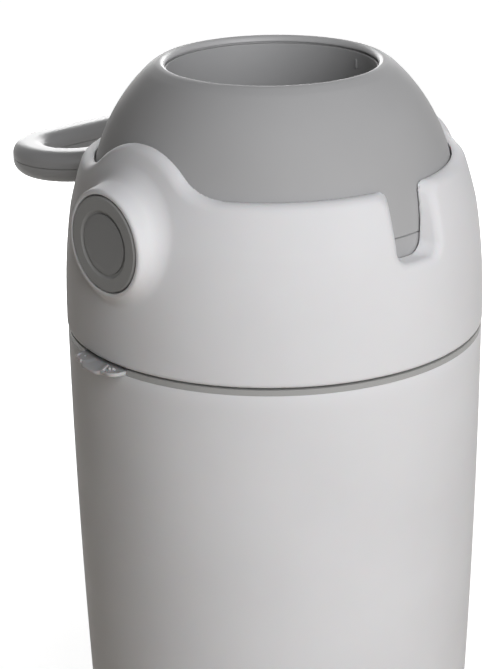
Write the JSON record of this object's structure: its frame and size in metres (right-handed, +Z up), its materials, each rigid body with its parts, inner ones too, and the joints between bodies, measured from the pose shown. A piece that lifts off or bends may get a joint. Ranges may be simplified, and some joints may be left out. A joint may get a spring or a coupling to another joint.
{
  "type": "nappy bin",
  "caption": "Tall round nappy bin with a flip-over drum, a side handle, a sliding piston in the drum's tube and a lift-off head on a deep tub.",
  "frame": {"origin": "on the bin's axis, on the floor under the tub", "axes": "+Z up; the drum's pivot along X; the handle towards +Y (rear), the front notch towards -Y"},
  "size_m": [0.3008, 0.3626, 0.5634],
  "materials": {
    "white_shell": "fine satin moulded",
    "white_inner": "moulded",
    "grey_ring": "satin moulded",
    "drum_grey": "fine satin moulded",
    "tube_grey": "satin moulded",
    "hub_grey": "satin moulded",
    "cap_grey": "satin moulded",
    "frosted_plastic": "frosted, slightly translucent",
    "bush_plastic": "low-friction moulded",
    "seal_rubber": "soft",
    "steel": "plated"
  },
  "bodies": {
    "tub": {"tub_shell": "white_shell", "tub_rim_ring": "grey_ring", "rim_seal": "seal_rubber", "latch_pins": "steel"},
    "bag_ring": {"bag_ring": "white_inner"},
    "latch_left": {"latch_left": "frosted_plastic"},
    "latch_right": {"latch_right": "frosted_plastic"},
    "head": {"head_shell": "white_shell", "head_liner": "grey_ring", "liner_screws": "steel", "drum_seal": "seal_rubber", "pivot_bush_left": "bush_plastic", "pivot_bush_right": "bush_plastic"},
    "drum": {"drum_upper_shell": "drum_grey", "drum_lower_shell": "drum_grey", "drum_tube": "tube_grey", "trunnion_block_left": "bush_plastic", "trunnion_block_right": "bush_plastic", "pivot_hub_left": "hub_grey", "pivot_hub_right": "hub_grey", "pivot_cap_left": "cap_grey", "pivot_cap_right": "cap_grey", "hub_screws": "steel", "handle_upper": "drum_grey", "handle_lower": "drum_grey", "handle_screws": "steel"},
    "piston": {"piston_body": "white_inner", "piston_cap_upper": "white_inner", "piston_cap_lower": "white_inner", "piston_seals": "seal_rubber"}
  },
  "joints": [
    {"name": "head_lift", "type": "slide", "parent": "tub", "child": "head", "axis": [0, 0, 1], "range_m": [0, 0.2]},
    {"name": "bag_ring_lift", "type": "slide", "parent": "tub", "child": "bag_ring", "axis": [0, 0, 1], "range_m": [0, 0.005]},
    {"name": "latch_left_lift", "type": "hinge", "parent": "tub", "child": "latch_left", "pos_m": [-0.1314, 0.0115, 0.3848], "axis": [0.0872, 0.9962, 0], "range_deg": [0, 8], "stiffness_Nm_per_rad": 0.2, "springref_deg": -2.86},
    {"name": "latch_right_lift", "type": "hinge", "parent": "tub", "child": "latch_right", "pos_m": [0.1314, 0.0115, 0.3848], "axis": [0.0872, -0.9962, 0], "range_deg": [0, 8], "stiffness_Nm_per_rad": 0.2, "springref_deg": -2.86},
    {"name": "drum_flip", "type": "hinge", "parent": "head", "child": "drum", "pos_m": [0, 0, 0.4705], "axis": [1, 0, 0], "range_deg": [0, 180]},
    {"name": "piston_drop", "type": "slide", "parent": "drum", "child": "piston", "axis": [0, 0, 1], "range_m": [0, 0.0814]}
  ]
}
